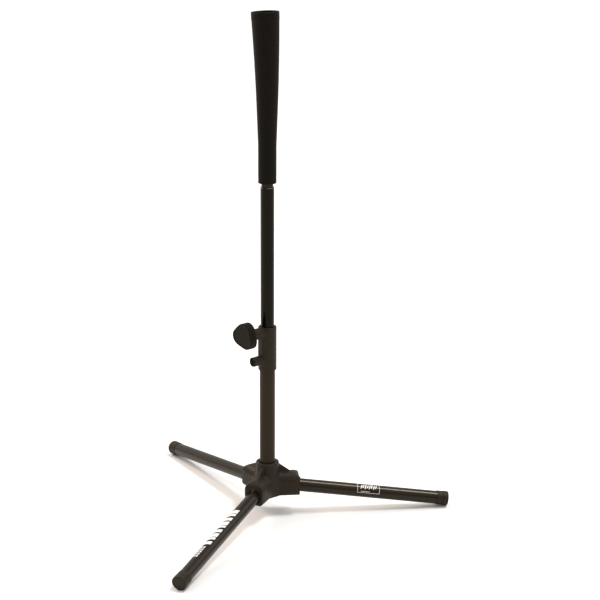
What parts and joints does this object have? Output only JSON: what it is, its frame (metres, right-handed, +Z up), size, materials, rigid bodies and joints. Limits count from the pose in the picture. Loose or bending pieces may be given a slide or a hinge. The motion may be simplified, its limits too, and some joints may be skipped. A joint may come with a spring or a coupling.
{
  "type": "batting tee",
  "caption": "Free-standing batting tee: flexible rubber ball cone on a telescoping steel post with a clamp knob, on a hub with plug-in legs.",
  "frame": {"origin": "centre of the footprint, on the floor", "axes": "+Z up along the post; +X the way leg 1 points from the hub; +Y to the left when facing +X"},
  "size_m": [0.479, 0.5512, 0.841],
  "materials": {
    "hub_plastic": "moulded black glass-filled plastic, fine satin texture",
    "knob_plastic": "moulded black plastic, satin",
    "satin_tube": "black powder coat on steel tube, satin to gloss",
    "gloss_tube": "black gloss paint on steel tube",
    "cone_rubber": "matte black moulded rubber",
    "cap_rubber": "black moulded rubber",
    "nylon": "natural nylon",
    "zinc": "zinc-plated steel",
    "brass": "turned brass",
    "black_screw": "black-plated steel screw"
  },
  "bodies": {
    "base": {"hub": "hub_plastic", "hub_washer": "zinc", "hub_bolt": "zinc", "tube_plug": "nylon", "lower_tube": "satin_tube", "height_collar": "hub_plastic", "collar_screw": "black_screw", "clamp_insert": "brass"},
    "mast": {"upper_tube": "gloss_tube", "upper_tube_plug": "cap_rubber", "stem_stop": "nylon"},
    "topper": {"ball_cone": "cone_rubber", "cone_stem": "satin_tube"},
    "clamp_slider": {"clamp_pad": "nylon"},
    "knob": {"clamp_knob": "knob_plastic", "clamp_stud": "zinc"},
    "leg_1": {"leg_tube_1": "satin_tube", "foot_cap_1": "cap_rubber"},
    "leg_2": {"leg_tube_2": "satin_tube", "foot_cap_2": "cap_rubber"},
    "leg_3": {"leg_tube_3": "satin_tube", "foot_cap_3": "cap_rubber"}
  },
  "joints": [
    {"name": "mast_slide", "type": "slide", "parent": "base", "child": "mast", "axis": [0, 0, 1], "range_m": [-0.19, 0.03]},
    {"name": "topper_lift", "type": "slide", "parent": "mast", "child": "topper", "axis": [0, 0, 1], "range_m": [0, 0.062]},
    {"name": "clamp_advance", "type": "slide", "parent": "base", "child": "clamp_slider", "axis": [-0.8131, -0.5821, 0], "range_m": [0, 0.002]},
    {"name": "knob_turn", "type": "hinge", "parent": "clamp_slider", "child": "knob", "pos_m": [-0.07365, 0, 0.32489], "axis": [-0.8131, -0.5821, 0], "range_deg": [0, 720]},
    {"name": "leg_1_pull", "type": "slide", "parent": "base", "child": "leg_1", "axis": [0.9906, 0, -0.1366], "range_m": [0, 0.038]},
    {"name": "leg_2_pull", "type": "slide", "parent": "base", "child": "leg_2", "axis": [-0.4953, 0.8579, -0.1366], "range_m": [0, 0.038]},
    {"name": "leg_3_pull", "type": "slide", "parent": "base", "child": "leg_3", "axis": [-0.4953, -0.8579, -0.1366], "range_m": [0, 0.038]}
  ],
  "couplings": [
    {"joint": "clamp_advance", "follows": "knob_turn", "m_per_rad": 0.000159}
  ]
}
